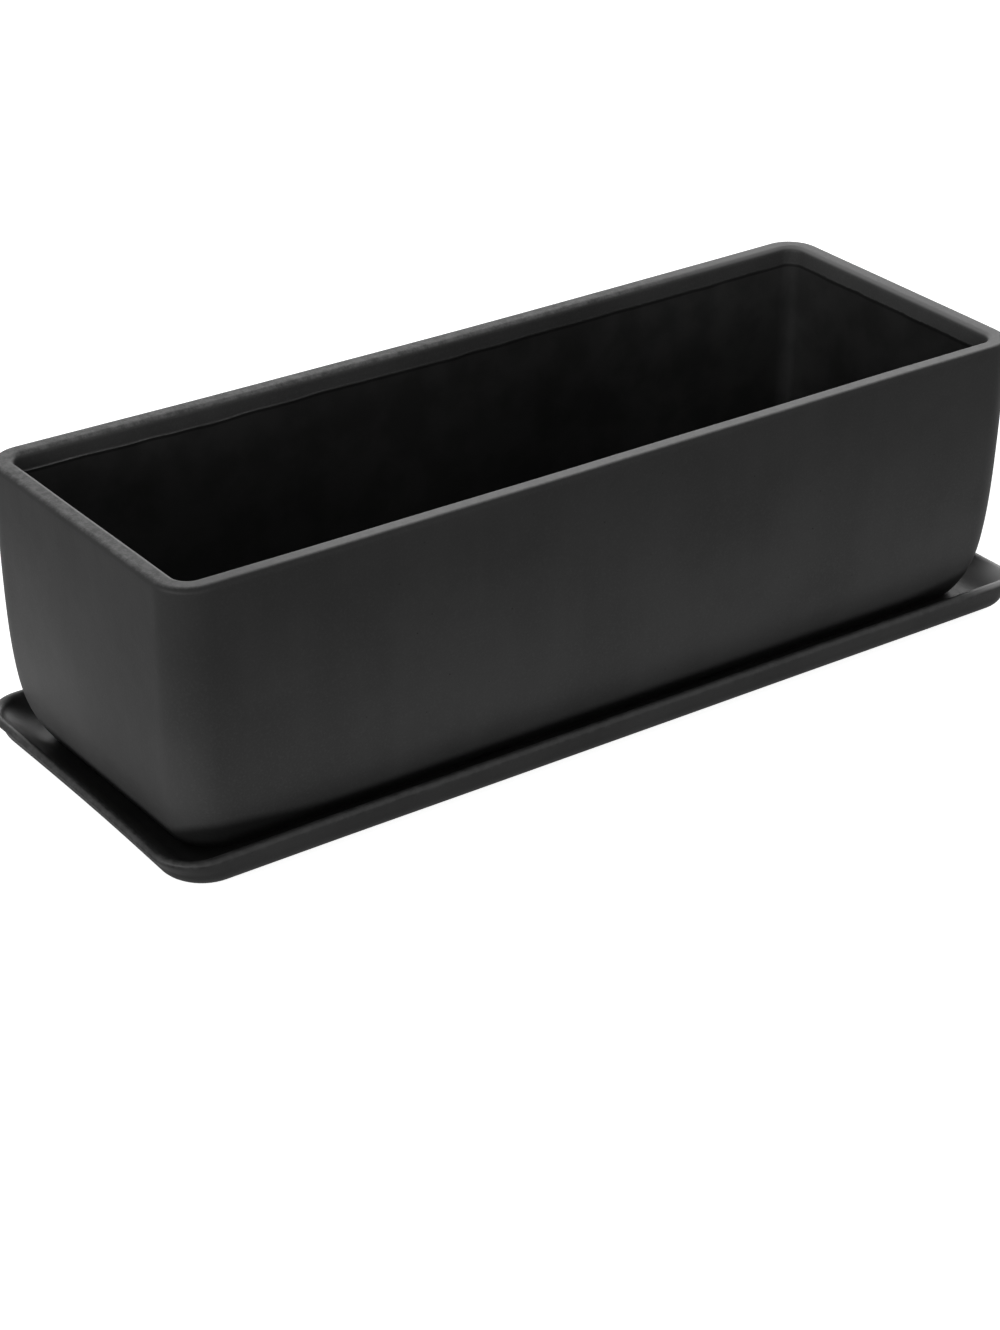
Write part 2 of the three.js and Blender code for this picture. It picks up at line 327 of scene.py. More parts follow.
def pot_surface():
    """The pot's walls as one grid of section rows by outline columns, with what its finish follows.

    A row is the rim's rounded rectangle at the section's height, drawn in by the section's own width,
    by the glaze, and by an inset that is a straight lean plus two powers of the depth below the rim.
    Corners widen with a power of the depth. The long sides' bow and the rim's sag are greatest at
    mid-length and at the rim. Slow sine waves then push every side in and out.
    """
    taken, height = (values[:, None] for values in pot_profile().T)
    step = np.hypot(np.diff(taken[:, 0]), np.diff(height[:, 0]))
    run = np.concatenate([[0.0], np.cumsum(step)])[:, None]
    rim_middle = np.interp(WALL_THICKNESS / 2, *rim_crossing(taken[:, 0], height[:, 0], run[:, 0]))
    rim_run = run - rim_middle
    inside = rim_run > 0
    depth = 1 - height / POT_HEIGHT
    inset = WALL_LEAN * depth + WALL_TUCK * depth ** WALL_TUCK_POWER
    inset = inset + LOWER_LEAN * depth ** FOOT_CORNER_POWER
    leftward, rightward = (1 - SHARE_X) / 2, (1 + SHARE_X) / 2

    middle = outline(RIM_LENGTH / 2, RIM_WIDTH / 2, RIM_CORNER_RADIUS, 0.0, 0.0)
    line = GLAZE_LINE_DROP + GLAZE_LINE_WAVE * unevenness(middle, GLAZE_LINE_WAVE_LENGTH, seed=3)
    line = line + GLAZE_LINE_RIPPLE * unevenness(middle, GLAZE_LINE_RIPPLE_LENGTH, seed=4, waves=12)
    glaze_run = np.where(inside, POT_HEIGHT - height - line, UNGLAZED)
    glaze_depth = GLAZE_THICKNESS * (GLAZE_MIDDLE_SHARE - GLAZE_LEFTWARD_SHARE * SHARE_X)
    glaze = glaze_depth * smooth_step(glaze_run / GLAZE_EDGE + 0.5)
    inward = taken + glaze * (taken <= WALL_THICKNESS)

    outer_corner = RIM_CORNER_RADIUS + FOOT_CORNER_GROWTH * depth ** FOOT_CORNER_POWER
    sweep = FOOT_CORNER_SWEEP * leftward * depth ** FOOT_SWEEP_POWER * ~inside
    corner = at_least(outer_corner + sweep - inward, LEAST_INSIDE_CORNER, CORNER_SOFTNESS)
    bow = (FRONT_WALL_BOW * FRONT + BACK_WALL_BOW * BACK) * (1 - depth)
    half_length = RIM_LENGTH / 2 + END_WALL_SWELL - inset - inward
    points = outline(half_length, RIM_WIDTH / 2 - inset - inward, corner, bow, height)

    points[..., 0] += RIGHT_RIM_SWELL * (1 - depth) ** 2 * rightward
    wavy = WALL_WAVE * unevenness(points, WALL_WAVE_LENGTH, seed=11)
    wavy = wavy + WALL_RIPPLE * unevenness(points, WALL_RIPPLE_LENGTH, seed=12)
    wavy = wavy * smooth_step((height - STEADY_FOOT) / STEADY_FOOT_FADE)
    points[..., 0] += OUT_X * wavy
    points[..., 1] += OUT_Y * wavy
    sag = BACK_RIM_SAG * BACK * MID_LENGTH + FRONT_RIM_SAG * FRONT * MID_LENGTH * (1 - SHARE_X / 2)
    points[..., 2] -= sag * smooth_step(height / POT_HEIGHT)
    rim_wave = RIM_WAVE * unevenness(points * [1, 1, 0], RIM_WAVE_LENGTH, seed=13)
    points[..., 2] += rim_wave * smooth_step(height / POT_HEIGHT * 2 - 1)
    bare = smooth_step((BARE_FOOT_TOP - height) / BARE_FOOT_FADE) * (rim_run < 0)
    return points, {"rim_run": rim_run, "glaze_run": glaze_run, "bare_foot": bare, "front_side": FRONT}


def rim_crossing(taken, height, run):
    """The runs and taken-in widths of the rows across the top of the rim, for finding its middle."""
    top = height > POT_HEIGHT - 0.01
    return taken[top], run[top]


def drain_cells(points):
    """The pot's floor in three cells, one round each drain hole.

    A cell is a closed grid that goes from the cell's edge in over the floor to its drain hole, down
    the hole and out again underneath. Its edge is made of parts of the outline and of straight lines
    across the pot, halfway between two holes. Rows between the edge and the hole mix the two by a
    smooth step, so they stand closer together near both.
    """
    under, over = points[0], points[-1]
    long_side = np.flatnonzero(np.abs(OUT_Y) == 1)
    straight = long_side[np.abs(SHARE_X[long_side]) < 1]
    back = straight[OUT_Y[straight] > 0]
    front = straight[OUT_Y[straight] < 0]
    target = DRAIN_SPACING / 2 / over[back, 0].max()
    right_back = back[np.argmin(np.abs(SHARE_X[back] - target))]
    left_back = back[np.argmin(np.abs(SHARE_X[back] + target))]
    right_front = front[np.argmin(np.abs(SHARE_X[front] - target))]
    left_front = front[np.argmin(np.abs(SHARE_X[front] + target))]
    share = np.linspace(0.0, 1.0, CELL_LINE_POINTS)[1:-1, None]

    def span(start, end):
        return np.arange(start, end + 1 if end > start else end + 1 + COLUMNS) % COLUMNS

    def across(level, start, end):
        return level[start] + (level[end] - level[start]) * share

    def cell_edge(level, side):
        right = across(level, right_front, right_back)
        left = across(level, left_back, left_front)
        if side > 0:
            return np.concatenate([level[span(right_front, right_back)], right[::-1]])
        if side < 0:
            return np.concatenate([level[span(left_back, left_front)], left[::-1]])
        top, bottom = level[span(right_back, left_back)], level[span(left_front, right_front)]
        return np.concatenate([top, left, bottom, right])

    grids = []
    inward = smooth_step(np.linspace(0.0, 1.0, FLOOR_ROWS))[:, None, None]
    for side in (-1, 0, 1):
        centre = np.array([side * DRAIN_SPACING, 0.0])
        top_edge, foot_edge = cell_edge(over, side), cell_edge(under, side)
        away = top_edge[:, :2] - centre
        away /= np.linalg.norm(away, axis=1, keepdims=True)

        def ring(radius, height):
            flat = centre + away * radius
            return np.concatenate([flat, np.full((len(flat), 1), height)], axis=1)

        a = arc(5, 1)
        wall = [ring(DRAIN_RADIUS + DRAIN_TOP_ROUND * (1 - s), FLOOR_THICKNESS - DRAIN_TOP_ROUND * (1 - c))
                for s, c in zip(np.sin(a), np.cos(a))]
        wall += [ring(DRAIN_RADIUS, height) for height in DRAIN_WALL_ROWS]
        a = arc(3)
        wall += [ring(DRAIN_RADIUS + DRAIN_FOOT_ROUND * (1 - c), FOOT_HOLLOW + DRAIN_FOOT_ROUND * (1 - s))
                 for s, c in zip(np.sin(a), np.cos(a))]
        mouth = ring(DRAIN_RADIUS + DRAIN_TOP_ROUND, FLOOR_THICKNESS)
        floor = top_edge + (mouth - top_edge) * inward
        below = wall[-1] + (foot_edge - wall[-1]) * inward[1:]
        cell = np.concatenate([floor, np.stack(wall), below])
        row = np.arange(len(cell))[:, None]
        foot_row = len(floor) + len(wall) - 3
        bare = smooth_step((row - foot_row + 3) / 4)
        glaze_run = WELL_GLAZED * (bare < 0.5)
        values = {"rim_run": FAR_FROM_RIM, "glaze_run": glaze_run, "bare_foot": bare, "front_side": 0.0}
        grids.append((cell, values))
    return grids


def weep_notches(points):
    """Raises the foot, where a notch lets water out of the hollow, to the hollow's height."""
    beside = np.abs(np.abs(points[..., 0]) - WEEP_SPACING / 2)
    notch = FOOT_HOLLOW * smooth_step((WEEP_WIDTH / 2 + WEEP_EDGE / 2 - beside) / WEEP_EDGE)
    points[..., 2] = np.maximum(points[..., 2], notch)


def saucer_profile():
    """The saucer's section in one run of straight lines and ellipse arcs, as (taken in, height) pairs.

    It goes from the hollow underneath round the foot ring and the edge, up the leaning wall, over the
    lip and down the curved inner face to the floor.
    """
    ring_inner = SAUCER_EDGE_ROUND + SAUCER_FOOT_RING
    lip_round = LIP_THICKNESS / 2
    lip_base = SAUCER_HEIGHT - lip_round
    floor_top = SAUCER_FOOT_HOLLOW + SAUCER_FLOOR
    a = arc(3)
    runs = [
        (ring_inner + SAUCER_RING_ROUND * (1 - np.sin(a)),
         SAUCER_FOOT_HOLLOW - SAUCER_RING_ROUND * (1 - np.cos(a))),
        (ring_inner - SAUCER_RING_ROUND * (1 - np.cos(a)), SAUCER_RING_ROUND * (1 - np.sin(a))),
    ]
    ring = np.linspace(ring_inner - SAUCER_RING_ROUND, SAUCER_EDGE_ROUND, 6)[1:-1]
    runs.append((ring, 0 * ring))
    a = arc(12)
    runs.append((SAUCER_EDGE_ROUND * (1 - np.sin(a)), SAUCER_EDGE_RISE * (1 - np.cos(a))))
    wall = np.linspace(SAUCER_EDGE_RISE, lip_base, 13)[1:]
    runs.append((0 * wall, wall))
    a = np.linspace(0, math.pi, 17)[1:]
    runs.append((lip_round * (1 - np.cos(a)), lip_base + lip_round * np.sin(a)))
    a = arc(20, 1)
    cove_height = lip_base + (floor_top - lip_base) * np.sin(a)
    runs.append((LIP_THICKNESS + SAUCER_COVE * (1 - np.cos(a)), cove_height))
    return np.concatenate([np.stack(run, axis=1) for run in runs])


def saucer_surface():
    """The saucer as one grid of section rows by outline columns, closed above and below.

    A row is a rounded rectangle drawn in by the section's own width and, below the lip, by the wall's
    lean: half the difference of two hyperbolas, which is a slope between two level runs with soft
    bends. Past the floor's edge, rows draw in evenly to a line along the middle.
    """
    taken, height = (values[:, None] for values in saucer_profile().T)
    lip_base = SAUCER_HEIGHT - LIP_THICKNESS / 2
    rise = (lip_base - height) / (lip_base - SAUCER_EDGE_RISE)
    lean = (np.hypot(rise, LEAN_SOFTNESS) - np.hypot(1 - rise, LEAN_SOFTNESS) + 1) / 2
    outward = LIP_THICKNESS - WALL_LEAN - WALL_TUCK - taken + LIP_MARGIN
    leftward, rightward = (1 - SHARE_X) / 2, (1 + SHARE_X) / 2
    flare = FLARE_AT_ENDS + SAUCER_LEFT_FLARE * leftward
    half_length = RIM_LENGTH / 2 + CHANNEL_AT_ENDS + outward - flare * lean
    half_width = RIM_WIDTH / 2 + CHANNEL_AT_SIDES + outward - FLARE_AT_SIDES * lean
    radius = SAUCER_CORNER_RADIUS - SAUCER_RIGHT_CORNER_LESS * rightward
    radius = radius + SAUCER_CORNER_GROWTH * (1 - height / SAUCER_HEIGHT)
    radius = radius - FLARE_AT_SIDES * lean - taken
    corner = at_least(radius, LEAST_SAUCER_CORNER, SAUCER_CORNER_SOFTNESS)
    points = outline(half_length, half_width, corner, 0.0, height)
    points[..., 0] -= OUT_X * SAUCER_LEFT_BOW * leftward * (1 - SHARE_Y ** 2)
    points[..., 0] -= leftward * (SAUCER_LEFT_REACH - SAUCER_LEFT_SKEW * SHARE_Y)
    wavy = SAUCER_WAVE * unevenness(points, SAUCER_WAVE_LENGTH, seed=21) * smooth_step(height / 3)
    points[..., 0] += OUT_X * wavy
    points[..., 1] += OUT_Y * wavy
    lip_wave = LIP_WAVE * unevenness(points * [1, 1, 0], LIP_WAVE_LENGTH, seed=22)
    points[..., 2] += lip_wave * smooth_step((height - 5) / 5)

    def closed(edge):
        spine = np.zeros_like(edge)
        reach = RIM_LENGTH / 2 - RIM_WIDTH / 2
        spine[:, 0] = np.clip(SHARE_X * RIM_LENGTH / 2, -reach, reach)
        spine[:, 2] = edge[0, 2]
        share = np.linspace(0.0, 1.0, CLOSING_ROWS)[1:, None, None]
        return edge + (spine - edge) * share

    step = np.hypot(np.diff(taken[:, 0]), np.diff(height[:, 0]))
    run = np.concatenate([[0.0], np.cumsum(step)])[:, None]
    lip_run = run - run[np.argmax(height)]
    bare = smooth_step((SAUCER_BARE_TOP - height) / BARE_FOOT_FADE) * (lip_run < 0)
    under, over = closed(points[0])[::-1], closed(points[-1])
    rows = np.ones((CLOSING_ROWS - 1, 1))
    points = np.concatenate([under, points, over])
    lip_run = np.concatenate([rows * -FAR_FROM_LIP, lip_run, rows * FAR_FROM_LIP])
    bare = np.concatenate([rows, bare, 0 * rows])
    return points, {"lip_run": lip_run, "bare_foot": bare}


# Finishes


def add(tree, kind, sockets=None, out=0, **settings):
    """Adds a shader node. A socket's value is a plain value or another node's output."""
    made = tree.nodes.new("ShaderNode" + kind)
    for key, value in settings.items():
        setattr(made, key, value)
    for key, value in (sockets or {}).items():
        socket = made.inputs[key]
        if isinstance(value, bpy.types.NodeSocket):
            tree.links.new(value, socket)
        else:
            socket.default_value = value
    return made.outputs[out]


def grey(value, warmth=0.0):
    """A colour that gives back this share of the light, and is redder than blue where it is warm."""
    return (value * (1 + warmth), value, value * (1 - warmth), 1.0)


WALL_DARK, WALL_PALE = grey(0.026), grey(0.032)
WALL_GRIT = grey(0.046)
WALL_PIT = grey(0.004)
DRY_DARK, DRY_PALE = grey(0.045), grey(0.12)
# the rim's dry tone at the right end, made paler by a painted highlight
DRY_RIM_WITH_HIGHLIGHT_RIGHT_END = grey(0.15)
# a painted highlight along the inner edge of the left end's rim
PAINTED_HIGHLIGHT_INNER_EDGE = grey(0.26)
# painted highlight of the front rim, over its wear
FRONT_RIM_HIGHLIGHT_DARK, FRONT_RIM_HIGHLIGHT_PALE = grey(0.165), grey(0.2)
LINER_DARK, LINER_PALE = grey(0.012), grey(0.0175)
CLAY_DARK, CLAY_PALE = grey(0.045, 0.04), grey(0.085, 0.05)
SATIN_DARK, SATIN_PALE = grey(0.017), grey(0.023)
SATIN_GRIT = grey(0.038)
LIP_RUBBED = grey(0.033)
# painted reflections on the lip's inner flank at the right and left ends
RIGHT_FLANK_REFLECTION, LEFT_FLANK_REFLECTION = grey(0.1), grey(0.05)
RIGHT_CROWN_HIGHLIGHT = grey(0.34)

# Runs from the middle of the rim, or of the saucer's lip, between which its wear and its painted
# highlights and reflections start or end
RIM_WEAR_AND_HIGHLIGHT_STARTS, RIM_WEAR_AND_HIGHLIGHT_ENDS = (-2.5, -1.0), (3.6, 2.6)
LIP_WEAR_STARTS, LIP_WEAR_ENDS = (-3.4, -1.6), (2.4, 1.0)
FLANK_REFLECTION_STARTS, FLANK_REFLECTION_ENDS = (1.0, 2.4), (15.0, 11.0)
CROWN_HIGHLIGHT_STARTS, CROWN_HIGHLIGHT_ENDS = (-2.2, -0.8), (7.0, 2.0)

# Painted shade at the foot of the pot's wall, where the saucer's lip shades it
FOOT_SHADE = 0.25  # share of the wall's own tone that is left there
FOOT_SHADE_LOW, FOOT_SHADE_HIGH = 9.5, 13.5  # heights between which it fades
NEAR_CORNER_SHADE_RISE, RIGHT_CORNER_SHADE_RISE = 6.0, 3.5


class Finish:
    """A procedural material that reads the piece's own coordinates and attributes."""

    def __init__(self, name, specular, **constants):
        self.material = bpy.data.materials.new(name)
        self.material.use_nodes = True
        self.tree = self.material.node_tree
        self.tree.nodes.clear()
        self.shader = self.tree.nodes.new("ShaderNodeBsdfPrincipled")
        output = self.tree.nodes.new("ShaderNodeOutputMaterial")
        self.tree.links.new(self.shader.outputs[0], output.inputs[0])
        self.shader.inputs["Specular IOR Level"].default_value = specular
        for key, value in constants.items():
            self.shader.inputs[key].default_value = value
        self.place = add(self.tree, "TexCoord", out="Object")
        self.axes = add(self.tree, "SeparateXYZ", {"Vector": self.place}).node.outputs

    def noise(self, size, detail=3.0, roughness=0.5, stretch=(1, 1, 1)):
        """Cloudy noise with blotches about this many millimetres across, longer where stretched."""
        place = self.place
        if stretch != (1, 1, 1):
            scale = tuple(1 / value for value in stretch)
            place = add(self.tree, "Mapping", {"Vector": place, "Scale": scale})
        return add(self.tree, "TexNoise", {
            "Vector": place, "Scale": 1 / (size * MILLIMETRE), "Detail": detail, "Roughness": roughness})

    def pits(self, size, width):
        """Small round pits: near 1 at the middle of scattered cells, 0 elsewhere."""
        sockets = {"Vector": self.place, "Scale": 1 / (size * MILLIMETRE)}
        return self.ramp(add(self.tree, "TexVoronoi", sockets, out="Distance"), width, 0.0)

    def attribute(self, name):
        return add(self.tree, "Attribute", out="Fac", attribute_name=name)

    def ramp(self, value, low, high, to_low=0.0, to_high=1.0):
        """Maps low..high smoothly to to_low..to_high, held at both ends."""
        return add(self.tree, "MapRange", {
            "Value": value, "From Min": low, "From Max": high, "To Min": to_low, "To Max": to_high},
            interpolation_type="SMOOTHSTEP")

    def along(self, axis, low, high, to_low=0.0, to_high=1.0):
        """A smooth ramp between two places on the X, Y or Z axis, in millimetres."""
        return self.ramp(self.axes[axis], low * MILLIMETRE, high * MILLIMETRE, to_low, to_high)

    def scaled(self, colour, factor):
        return add(self.tree, "VectorMath", {"Vector": colour, "Scale": factor}, operation="SCALE")

    def math(self, operation, a, b):
        made = self.tree.nodes.new("ShaderNodeMath")
        made.operation = operation
        for socket, value in zip(made.inputs, (a, b)):
            if isinstance(value, bpy.types.NodeSocket):
                self.tree.links.new(value, socket)
            else:
                socket.default_value = value
        return made.outputs[0]

    def mix(self, share, a, b):
        """Mixes two numbers or two colours."""
        colour = isinstance(a, tuple) or getattr(a, "type", "") in ("RGBA", "VECTOR")
        made = self.tree.nodes.new("ShaderNodeMix")
        made.data_type = "RGBA" if colour else "FLOAT"
        first = 6 if colour else 2
        for place, value in ((0, share), (first, a), (first + 1, b)):
            if isinstance(value, bpy.types.NodeSocket):
                self.tree.links.new(value, made.inputs[place])
            else:
                made.inputs[place].default_value = value
        return made.outputs[2 if colour else 0]

    def bump(self, height, distance, normal=None):
        """A bump whose height of 1 stands this many millimetres proud."""
        sockets = {"Height": height, "Distance": distance * MILLIMETRE, "Strength": 1.0}
        if normal is not None:
            sockets["Normal"] = normal
        return add(self.tree, "Bump", sockets)

    def set(self, **links):
        for key, value in links.items():
            self.tree.links.new(value, self.shader.inputs[key.replace("_", " ")])
        return self.material


def pot_finish():
    """Matt black outside and a little way down the inside, dry and paler over the rim.

    The inside has a liner glaze below its line, paler by painted light towards the left end and in the
    right back corner, and the foot is bare clay. Painted light makes the wall darker towards the rim and
    paler low down at its far left end, and painted shade darkens it again in its lowest millimetres, up
    to a greater height at the front corners. The rim has painted highlights along the front, over the
    right end and on the left end's inner edge.
    """
    f = Finish("pot matt black", specular=0.12, **{"Coat Roughness": 0.2, "Coat IOR": 1.5})
    rim_run = f.attribute("rim_run")
    glaze_run = f.attribute("glaze_run")
    bare = f.attribute("bare_foot")
    front = f.attribute("front_side")
    clouds = f.noise(38, detail=4)
    wipes = f.noise(9, detail=3, stretch=(1, 1, 9))
    mottle = f.noise(3.2, detail=5, roughness=0.62)
    grit = f.noise(0.7, detail=4, roughness=0.6)
    specks = f.pits(7.0, 0.05)

    wall_tone = f.math("ADD", f.math("MULTIPLY", clouds, 0.75), f.math("MULTIPLY", wipes, 0.25))
    wall = f.mix(f.ramp(wall_tone, 0.35, 0.65), WALL_DARK, WALL_PALE)
    wall = f.mix(f.ramp(grit, 0.45, 0.75, 0.0, 0.35), wall, WALL_GRIT)
    wall = f.mix(specks, wall, WALL_PIT)
    # painted shade: the wall's tone drops below a line that rises towards both front corners
    near_corner = f.math("MULTIPLY", f.along("X", -95, -146), f.along("Y", -34, -52))
    right_corner = f.math("MULTIPLY", f.along("X", 112, 144), f.along("Y", -30, -50))
    near_rise = f.math("MULTIPLY", near_corner, NEAR_CORNER_SHADE_RISE * MILLIMETRE)
    right_rise = f.math("MULTIPLY", right_corner, RIGHT_CORNER_SHADE_RISE * MILLIMETRE)
    foot_line = f.math("SUBTRACT", f.math("SUBTRACT", f.axes["Z"], near_rise), right_rise)
    low, high = FOOT_SHADE_LOW * MILLIMETRE, FOOT_SHADE_HIGH * MILLIMETRE
    foot_shade = f.ramp(foot_line, low, high, FOOT_SHADE, 1.0)
    # painted light and shade outside: paler towards the foot, darker towards the rim, times the painted
    # foot shade
    painted_light_and_shade = f.math("MULTIPLY", f.along("Z", 10, 92, 1.43, 0.66), foot_shade)
    # painted light on the band inside below the rim: paler towards the left and towards the right end
    band = f.math("MULTIPLY", f.along("X", -60, 20, 1.23, 1.02), f.along("X", 40, 115, 1.0, 1.26))
    painted_light_and_shade = f.mix(f.ramp(rim_run, -1, 1), painted_light_and_shade, band)
    # painted light: the lower part of the far left end's wall paler
    far_left_painted_light = f.math("MULTIPLY", f.along("X", -130, -150), f.along("Y", -40, 60))
    far_left_painted_light = f.math("MULTIPLY", far_left_painted_light, f.along("Z", 90, 60))
    wall = f.scaled(wall, f.math("MULTIPLY", painted_light_and_shade, f.mix(far_left_painted_light, 1.0, 1.5)))

    left_end = f.along("X", -135, -142)
    right_end = f.along("X", 60, 130)
    dry_tone = f.math("ADD", f.math("MULTIPLY", mottle, 0.7), f.math("MULTIPLY", grit, 0.3))
    mottled = f.mix(f.ramp(dry_tone, 0.34, 0.66), DRY_DARK, DRY_PALE)
    # painted light: the rim a little paler over the left end
    mottled = f.scaled(mottled, f.mix(left_end, 1.0, 1.1))
    # painted highlight: the rim paler towards the right end
    mottled = f.mix(right_end, mottled, DRY_RIM_WITH_HIGHLIGHT_RIGHT_END)
    # painted highlight along the rim's inner edge at the left end
    inner_edge_highlight = f.math("MULTIPLY", f.ramp(rim_run, 1.3, 1.9), f.ramp(rim_run, 3.2, 2.6))
    inner_edge_highlight = f.math("MULTIPLY", inner_edge_highlight, f.along("Y", 46, 34))
    mottled = f.mix(f.math("MULTIPLY", inner_edge_highlight, left_end), mottled, PAINTED_HIGHLIGHT_INNER_EDGE)
    # painted highlight: the front rim pale and even, weaker towards the left end
    smooth = f.mix(f.ramp(dry_tone, 0.34, 0.66), FRONT_RIM_HIGHLIGHT_DARK, FRONT_RIM_HIGHLIGHT_PALE)
    smooth = f.scaled(smooth, f.along("X", -85, -140, 1.0, 0.6))
    dry = f.mix(front, mottled, smooth)
    stray = f.math("SUBTRACT", f.noise(1.3, detail=5, roughness=0.6), 0.5)
    ragged = f.math("MULTIPLY", stray, f.mix(left_end, 0.4, 1.1))
    outer_run = f.math("ADD", f.math("ADD", rim_run, ragged), f.mix(front, 0.7, 0.0))
    # the rim's worn band, which also carries the painted highlights of the dry tone above
    rim_wear_and_highlight = f.math("MULTIPLY", f.ramp(outer_run, *RIM_WEAR_AND_HIGHLIGHT_STARTS), f.ramp(rim_run, *RIM_WEAR_AND_HIGHLIGHT_ENDS))
    colour = f.mix(rim_wear_and_highlight, wall, dry)

    fretted = f.math("MULTIPLY", f.math("SUBTRACT", f.noise(1.6, detail=3), 0.5), 0.7)
    glazed = f.ramp(f.math("ADD", glaze_run, fretted), -0.12, 0.12)
    liner = f.mix(f.ramp(f.noise(16, detail=4), 0.35, 0.65), LINER_DARK, LINER_PALE)
    # painted light on the liner glaze: paler towards the left end and most in the right back corner
    painted_corner_glow = f.math("MULTIPLY", f.along("X", 40, 125), f.along("Y", 20, 46))
    liner = f.scaled(liner, f.mix(painted_corner_glow, f.along("X", -40, -130, 1.0, 1.5), 1.85))
    pooled = f.math("MULTIPLY", f.ramp(glaze_run, 0.1, 0.5), f.ramp(glaze_run, 1.4, 0.9))
    liner = f.scaled(liner, f.mix(pooled, 1.0, 0.45))
    colour = f.mix(glazed, colour, liner)
    clay = f.mix(f.ramp(dry_tone, 0.35, 0.65), CLAY_DARK, CLAY_PALE)
    colour = f.mix(bare, colour, clay)

    rough = f.mix(clouds, 0.4, 0.48)
    rough = f.mix(rim_wear_and_highlight, rough, 0.5)
    rough = f.mix(glazed, rough, 0.3)
    rough = f.mix(bare, rough, 0.85)

    tooth = f.mix(rim_wear_and_highlight, 0.35, 1.0)
    tooth = f.mix(glazed, tooth, 0.05)
    tooth = f.mix(bare, tooth, 1.0)
    relief = f.bump(f.noise(26, detail=2), 0.5)
    relief = f.bump(f.math("MULTIPLY", mottle, tooth), 0.1, normal=relief)
    relief = f.bump(f.math("MULTIPLY", grit, tooth), 0.05, normal=relief)
    coat = f.math("MULTIPLY", glazed, f.math("SUBTRACT", 0.8, bare))
    return f.set(Base_Color=colour, Roughness=rough, Normal=relief, Coat_Weight=coat)


def saucer_finish():
    """Satin black all over, rubbed paler along the lip, and bare clay on the ring underneath.

    The lip's inner flank has a painted reflection at both ends, and its crown a painted highlight at the
    right front corner. Painted shade makes the left end darker outside.
    """
    f = Finish("saucer satin black", specular=0.26)
    lip_run = f.attribute("lip_run")
    bare = f.attribute("bare_foot")
    clouds = f.noise(30, detail=4)
    mottle = f.noise(2.6, detail=5, roughness=0.62)
    grit = f.noise(0.7, detail=4, roughness=0.6)
    satin = f.mix(f.ramp(clouds, 0.35, 0.65), SATIN_DARK, SATIN_PALE)
    satin = f.mix(f.ramp(grit, 0.5, 0.8, 0.0, 0.3), satin, SATIN_GRIT)
    # painted shade: the saucer's left end darker
    satin = f.scaled(satin, f.along("X", -140, -157, 1.0, 0.42))
    rubbed = f.math("MULTIPLY", f.ramp(lip_run, *LIP_WEAR_STARTS), f.ramp(lip_run, *LIP_WEAR_ENDS))
    rubbed = f.math("MULTIPLY", rubbed, f.ramp(mottle, 0.4, 0.65))
    colour = f.mix(rubbed, satin, LIP_RUBBED)
    # painted reflection on the lip's inner flank, at the right end and, weaker, at the left end
    flank = f.math("MULTIPLY", f.ramp(lip_run, *FLANK_REFLECTION_STARTS), f.ramp(lip_run, *FLANK_REFLECTION_ENDS))
    colour = f.mix(f.math("MULTIPLY", flank, f.along("X", 122, 152)), colour, RIGHT_FLANK_REFLECTION)
    # painted highlight on the lip's crown at the right front corner
    crown = f.math("MULTIPLY", f.ramp(lip_run, *CROWN_HIGHLIGHT_STARTS), f.ramp(lip_run, *CROWN_HIGHLIGHT_ENDS))
    crown = f.math("MULTIPLY", crown, f.along("Y", -34, -54))
    colour = f.mix(f.math("MULTIPLY", crown, f.along("X", 128, 152)), colour, RIGHT_CROWN_HIGHLIGHT)
    colour = f.mix(f.math("MULTIPLY", flank, f.along("X", -144, -154)), colour, LEFT_FLANK_REFLECTION)
    clay = f.mix(f.ramp(mottle, 0.35, 0.65), CLAY_DARK, CLAY_PALE)
    colour = f.mix(bare, colour, clay)
    rough = f.mix(clouds, 0.36, 0.44)
    rough = f.mix(rubbed, rough, 0.52)
    rough = f.mix(bare, rough, 0.85)
    relief = f.bump(f.noise(24, detail=2), 0.4)
    relief = f.bump(mottle, 0.05, normal=relief)
    relief = f.bump(grit, 0.03, normal=relief)
    return f.set(Base_Color=colour, Roughness=rough, Normal=relief)


# Pieces

pot_points, pot_values = pot_surface()
pot_grids = [(pot_points, pot_values)] + drain_cells(pot_points)
for grid_points, _ in pot_grids:
    weep_notches(grid_points)
    grid_points[..., 2] += POT_FOOT
make_piece("pot_body", pot_grids, "pot", "pot", pot_finish())
make_piece("saucer_body", [saucer_surface()], "saucer", "saucer", saucer_finish())


# Floor and light, with lengths in metres
FLOOR_HALF_SIZE = 8.0
FLOOR_LEVEL = -0.0002
FLOOR_GLOW = 0.05
FLOOR_SEEN_GLOW = 0.85
FLOOR_SHADE = 0.85
REFLECTED_FROM, REFLECTED_FULLY_FROM = 0.1, 0.3  # X and Y at which reflections begin to see it white
ROOM_FILL = 0.3
LAMPS_AIM = (0.0, 0.0, 0.05)

# Camera, with lengths in millimetres and angles in degrees, fitted to the picture's outlines
CAMERA_AZIMUTH, CAMERA_ELEVATION, CAMERA_ROLL = -35.632, 28.335, 0.262
CAMERA_DISTANCE = 1022.644
CAMERA_TARGET = [-3.375, 4.952, 0.701]
SENSOR_SIZE = 36.0
FOCAL_LENGTH_IN_PIXELS = 3316.339
PICTURE_HEIGHT_IN_PIXELS = 1330


def seen_rays(tree):
    """1 for rays of the camera, of reflections and of what shines through, 0 for the others."""
    rays = tree.nodes.new("ShaderNodeLightPath").outputs
    seen = add(tree, "Math", {0: rays["Is Camera Ray"], 1: rays["Is Glossy Ray"]}, operation="MAXIMUM")
    return add(tree, "Math", {0: seen, 1: rays["Is Transmission Ray"]}, operation="MAXIMUM")


